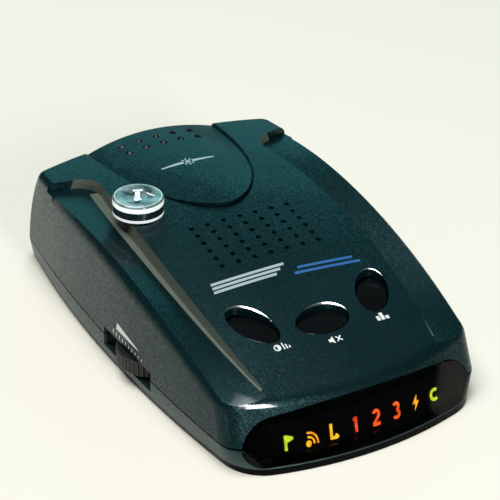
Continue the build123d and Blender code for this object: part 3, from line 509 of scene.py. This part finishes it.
# ------------------------------------------------------------ lit symbols
LEGEND_COUNT = 8
LEGEND_PITCH = 5.509
LEGEND_Z = 5.28
LEGEND_Y = -53.03
LEGEND_ARC = 143.0
FACE_LEAN = 0.44
SYMBOL_SIZE = 0.86
SYMBOL_SLANT = 0.1


def legend_place(centre):
    """Maps a symbol's own (u, v) in mm to the curved, leaning legend sheet."""
    def place(u, v):
        x = centre + u
        y = LEGEND_Y + x * x / (2 * LEGEND_ARC) + FACE_LEAN * v - 0.08
        return Vector((x * MM, y * MM, (LEGEND_Z + v) * MM))
    return place


STROKE = 0.8
flag = [bar(-0.9, -1.85, -0.9, 1.85, STROKE), [(-0.6, 1.85), (1.25, 1.2), (1.25, 0.6), (-0.6, -0.05)]]
radar = ring(-1.0, -1.4, 0.4, 0.8, 0, 360, 12) + ring(-1.0, -1.4, 1.55, 0.5, -8, 98, 10)
radar += ring(-1.0, -1.4, 2.6, 0.5, -8, 98, 12)
corner = [bar(-0.85, 1.9, -0.85, -1.85, STROKE), bar(-1.15, -1.55, 1.1, -1.55, STROKE),
          bar(0.35, -0.75, 1.25, -1.55, 0.45)]
one = [bar(0.15, -1.85, 0.15, 1.85, STROKE), bar(-0.7, 1.1, 0.1, 1.75, 0.5)]
two = ring(0, 0.85, 0.85, STROKE, 160, -40, 12)
two += [bar(0.65, 0.3, -0.95, -1.5, STROKE), bar(-1.1, -1.55, 1.15, -1.55, STROKE)]
three = ring(-0.05, 0.95, 0.78, STROKE, 150, -80, 12)
three += ring(-0.05, -0.85, 0.88, STROKE, 85, -150, 12)
bolt = [[(0.5, 1.95), (-1.1, -0.25), (-0.1, -0.25)], [(0.5, 1.95), (-0.1, -0.25), (0.3, 0.35)],
        [(0.3, 0.35), (-0.1, -0.25), (1.15, 0.35)], [(1.15, 0.35), (-0.1, -0.25), (-0.45, -1.95)]]
open_ring = ring(0.1, 0, 1.2, STROKE, 50, 310, 18)
# name, shapes, and the two colours that its light is clouded between
SYMBOLS = [
    ("Flag", flag, (0.55, 0.72, 0.03), (0.25, 0.5, 0.03)),
    ("Radar", radar, (0.95, 0.52, 0.02), (0.7, 0.1, 0.01)),
    ("Corner", corner, (0.9, 0.6, 0.03), (0.75, 0.35, 0.02)),
    ("One", one, (0.9, 0.09, 0.02), (0.6, 0.02, 0.01)),
    ("Two", two, (0.92, 0.11, 0.02), (0.6, 0.02, 0.01)),
    ("Three", three, (0.92, 0.13, 0.02), (0.6, 0.02, 0.01)),
    ("Bolt", bolt, (0.95, 0.45, 0.02), (0.75, 0.08, 0.01)),
    ("OpenRing", open_ring, (0.6, 0.72, 0.03), (0.35, 0.5, 0.03)),
]
for k, (label, shapes, colour, edge) in enumerate(SYMBOLS):
    centre = (k - (LEGEND_COUNT - 1) / 2) * LEGEND_PITCH
    slanted = [[(SYMBOL_SIZE * (u + SYMBOL_SLANT * v), SYMBOL_SIZE * v) for u, v in outline]
               for outline in shapes]
    lit_face = glow("Glow" + label, colour, 5.0, edge)
    printed("Symbol" + label, slanted, lit_face, legend_place(centre), 0.8)


# ------------------------------------------------------------ clear lens
def glassy(name, dark, light, painted_glow=0.0, rough=0.04):
    """Clear plastic as it looks over a dark case, made opaque: painted patches of light and dark under a
    gloss, and a painted glow of the light colour.
    """
    mat, tree, bsdf = new_material(name)
    coords = object_coords(tree)
    patches = noise(tree, coords, 330.0, 4.0, 0.62)
    link(tree, ramp(tree, patches, dark, light, 0.36, 0.72), bsdf.inputs["Base Color"])
    link(tree, bump(tree, patches, 0.25, 0.05 * MM), bsdf.inputs["Normal"])
    bsdf.inputs["Roughness"].default_value = rough
    bsdf.inputs["Emission Color"].default_value = (*light, 1)
    bsdf.inputs["Emission Strength"].default_value = painted_glow
    bsdf.inputs["Coat Weight"].default_value = 0.6
    bsdf.inputs["Coat Roughness"].default_value = 0.03
    return mat


LENS = (-20.8, 17.3)
LENS_STEPS = 96
LENS_ANGLES = [2 * math.pi * k / LENS_STEPS for k in range(LENS_STEPS)]
# radius, height and finish of the band that starts there: 0 face, 1 ring, 2 dark band, 3 lip
LENS_PROFILE = [
    (0.0, 33.5, 0), (2.6, 33.5, 0), (4.1, 33.95, 0), (4.9, 34.06, 0), (5.5, 34.08, 3), (5.85, 34.02, 0),
    (6.1, 33.8, 0), (6.2, 33.55, 1), (6.24, 33.3, 1), (6.24, 32.35, 2), (6.24, 30.45, 1), (6.24, 29.72, 2),
    (6.2, 29.65, 2), (4.9, 29.65, 2), (4.88, 26.42, 2), (0.0, 26.42, 2),
]


def lens_row(bm, radius, height):
    """One ring of corners; on the axis they are all the same one."""
    x, y, z = LENS[0] * MM, LENS[1] * MM, height * MM
    if radius == 0:
        return [bm.verts.new((x, y, z))] * LENS_STEPS
    return [bm.verts.new(((LENS[0] + radius * math.cos(a)) * MM, (LENS[1] + radius * math.sin(a)) * MM, z))
            for a in LENS_ANGLES]


lens_bm = bmesh.new()
lens_rows = [lens_row(lens_bm, radius, height) for radius, height, _ in LENS_PROFILE]
for upper_row, lower_row, (_, _, zone) in zip(lens_rows, lens_rows[1:], LENS_PROFILE):
    for k in range(LENS_STEPS):
        j = (k + 1) % LENS_STEPS
        corners = []
        for v in (upper_row[k], lower_row[k], lower_row[j], upper_row[j]):
            if v not in corners:
                corners.append(v)
        face = lens_bm.faces.new(corners)
        face.material_index = zone
        face.smooth = True
bmesh.ops.recalc_face_normals(lens_bm, faces=lens_bm.faces[:])
lens_mesh = bpy.data.meshes.new("ClearLensBody")
lens_bm.to_mesh(lens_mesh)
lens_bm.free()
# painted light seen in clear plastic: the ring glows near-white and the lip pale, the band is painted dark
# and the face mottled
for finish in (glassy("LensFace", (0.02, 0.05, 0.052), (0.32, 0.43, 0.43)),
               glassy("LensRing", (0.7, 0.8, 0.82), (0.95, 0.98, 0.98), 0.5),
               glassy("LensBand", (0.006, 0.014, 0.017), (0.02, 0.04, 0.045)),
               glassy("LensLip", (0.3, 0.42, 0.44), (0.6, 0.74, 0.75), 0.1)):
    lens_mesh.materials.append(finish)
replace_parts(add_piece("ClearLensBody", lens_mesh), "top_laser_lens")

lens_light = plastic("LensLight", (0.93, 0.97, 0.97), 0.15, 0.4, 0.04, coat=0.5)


def on_lens(u, v):
    """u to the right and v up as the lens is seen from the display end."""
    across, away = Vector((0.866, -0.5)), Vector((0.51, 0.86))
    spot = Vector(LENS) + across * u + away * v
    return Vector((spot.x * MM, spot.y * MM, 34.0 * MM))


# light patches seen in the lens
lens_marks = [[(-1.6, 2.9), (-1.3, 1.9), (1.0, 2.3), (0.9, 3.2)],
              [(-0.9, 2.2), (-0.7, -0.9), (0.5, -0.9), (0.4, 2.3)],
              [(-0.8, -0.8), (-0.9, -2.4), (-0.2, -2.8), (1.1, -2.0), (0.5, -0.8)],
              [(2.0, 1.7), (1.9, 1.2), (3.1, 0.2), (4.1, -0.1), (3.9, 0.4), (3.0, 0.9)],
              [(-4.6, -2.6), (-4.9, -2.2), (-3.6, -3.6), (-2.2, -4.5), (-1.9, -4.2), (-3.2, -3.4)]]
printed("LensHighlights", lens_marks, lens_light, on_lens)


# ------------------------------------------------------------ key rims, as painted highlights
RIM_START = (6.87, 4.02)   # half length and half width of the oval just outside a key hole
RIM_STEPS = 28
RIM_LEAN = (46, 30)        # degrees: tilt of the shading at the hole, and its loss across the rim

rim_highlight_mat, rim_tree, rim_bsdf = new_material("KeyRimHighlight")
rim_noise = noise(rim_tree, object_coords(rim_tree), 2500.0)
rim_highlight_colour = ramp(rim_tree, rim_noise, (0.7, 0.78, 0.78), (0.95, 0.98, 0.98))
link(rim_tree, rim_highlight_colour, rim_bsdf.inputs["Base Color"])
rim_bsdf.inputs["Metallic"].default_value = 1.0
rim_bsdf.inputs["Roughness"].default_value = 0.16


def key_rim(name, turn, x, y, middle, half_angle, width):
    """Painted highlight: a bright, near-white metal crescent on the panel beyond a key hole, shaded as if
    it turned over into the hole.
    """
    points, shading, quads = [], [], []
    c, s = math.cos(math.radians(turn)), math.sin(math.radians(turn))
    for k in range(RIM_STEPS + 1):
        part_way = k / RIM_STEPS
        a = math.radians(middle + half_angle * (2 * part_way - 1))
        wide = width * math.sin(math.pi * part_way) ** 0.7
        u, v = math.cos(a), math.sin(a)
        inward = Vector((-(u * c - v * s), -(u * s + v * c), 0)).normalized()
        for share in (0.0, 0.5, 1.0):
            ru, rv = (RIM_START[0] + wide * share) * u, (RIM_START[1] + wide * share) * v
            points.append(on_roof(x + ru * c - rv * s, y + ru * s + rv * c))
            lean = math.radians(RIM_LEAN[0] - RIM_LEAN[1] * share)
            shading.append((inward * math.sin(lean) + Vector((0, 0, math.cos(lean)))).normalized())
    for k in range(RIM_STEPS):
        for j in (0, 1):
            quads.append((3 * k + j, 3 * k + j + 1, 3 * k + j + 4, 3 * k + j + 3))
    mesh = bpy.data.meshes.new(name)
    mesh.from_pydata(points, [], quads)
    if mesh.polygons[len(quads) // 2].normal.z < 0:
        mesh.flip_normals()
    mesh.polygons.foreach_set("use_smooth", [True] * len(mesh.polygons))
    mesh.normals_split_custom_set_from_vertices(shading)
    add_piece(name, mesh, rim_highlight_mat)


key_rim("DimRim", -58.0, -16.0, -29.6, 122.0, 58.0, 0.8)
key_rim("MuteRim", 0.0, 0.0, -33.7, 60.0, 52.0, 0.8)
key_rim("CityRim", 58.0, 16.0, -29.6, 5.0, 45.0, 0.35)

# ------------------------------------------------------------ floor, light, camera
floor_mesh = bpy.data.meshes.new("Floor")
floor_mesh.from_pydata([(-4, -4, 0), (4, -4, 0), (4, 4, 0), (-4, 4, 0)], [], [(0, 1, 2, 3)])
floor = bpy.data.objects.new("Floor", floor_mesh)
bpy.context.scene.collection.objects.link(floor)
floor.location.z = -0.00005
floor_mat, floor_tree, floor_bsdf = new_material("FloorPaper")
floor_cloud = noise(floor_tree, object_coords(floor_tree), 3.0)
floor_colour = ramp(floor_tree, floor_cloud, (0.855, 0.832, 0.735), (0.865, 0.84, 0.743))
link(floor_tree, floor_colour, floor_bsdf.inputs["Base Color"])
floor_bsdf.inputs["Roughness"].default_value = 0.9
floor_bsdf.inputs["Specular IOR Level"].default_value = 0.0
floor_mesh.materials.append(floor_mat)


def softbox(name, place, target, size, power, colour=(1, 1, 1)):
    lamp = bpy.data.lights.new(name, "AREA")
    lamp.shape = "RECTANGLE"
    lamp.size, lamp.size_y = size
    lamp.energy = power
    lamp.color = colour
    obj = bpy.data.objects.new(name, lamp)
    bpy.context.scene.collection.objects.link(obj)
    obj.location = place
    obj.rotation_euler = (Vector(target) - Vector(place)).to_track_quat("-Z", "Y").to_euler()
    return obj


softbox("TopLight", (-0.25, 0.1, 1.5), (0, 0, 0), (1.1, 1.1), 24.0)
softbox("FrontLight", (-0.05, -0.79, 0.36), (0, -0.03, 0.01), (0.12, 0.24), 2.9)
softbox("BackLight", (0.82, 1.08, 0.62), (0, 0, 0), (1.3, 0.6), 2.6, (0.2, 0.95, 1.0))
world = bpy.data.worlds.new("Studio")
world.use_nodes = True
background = world.node_tree.nodes["Background"]
background.inputs["Color"].default_value = (0.75, 1.0, 1.0, 1)
background.inputs["Strength"].default_value = 0.07
bpy.context.scene.world = world

camera_data = bpy.data.cameras.new("Camera")
camera_data.lens = 132.03
camera_data.sensor_width = 36.0
camera_data.clip_start = 0.01
camera = bpy.data.objects.new("Camera", camera_data)
bpy.context.scene.collection.objects.link(camera)
axis_x = Vector((0.8660, -0.4995, 0.01845))
axis_y = Vector((0.2399, 0.4477, 0.8613))
axis_z = Vector((-0.4386, -0.7416, 0.5076))
turn = Matrix((axis_x, axis_y, axis_z)).transposed().to_4x4()
camera.matrix_world = Matrix.Translation((-0.19325, -0.32747, 0.24610)) @ turn
bpy.context.scene.camera = camera
bpy.context.scene.view_settings.view_transform = "Standard"
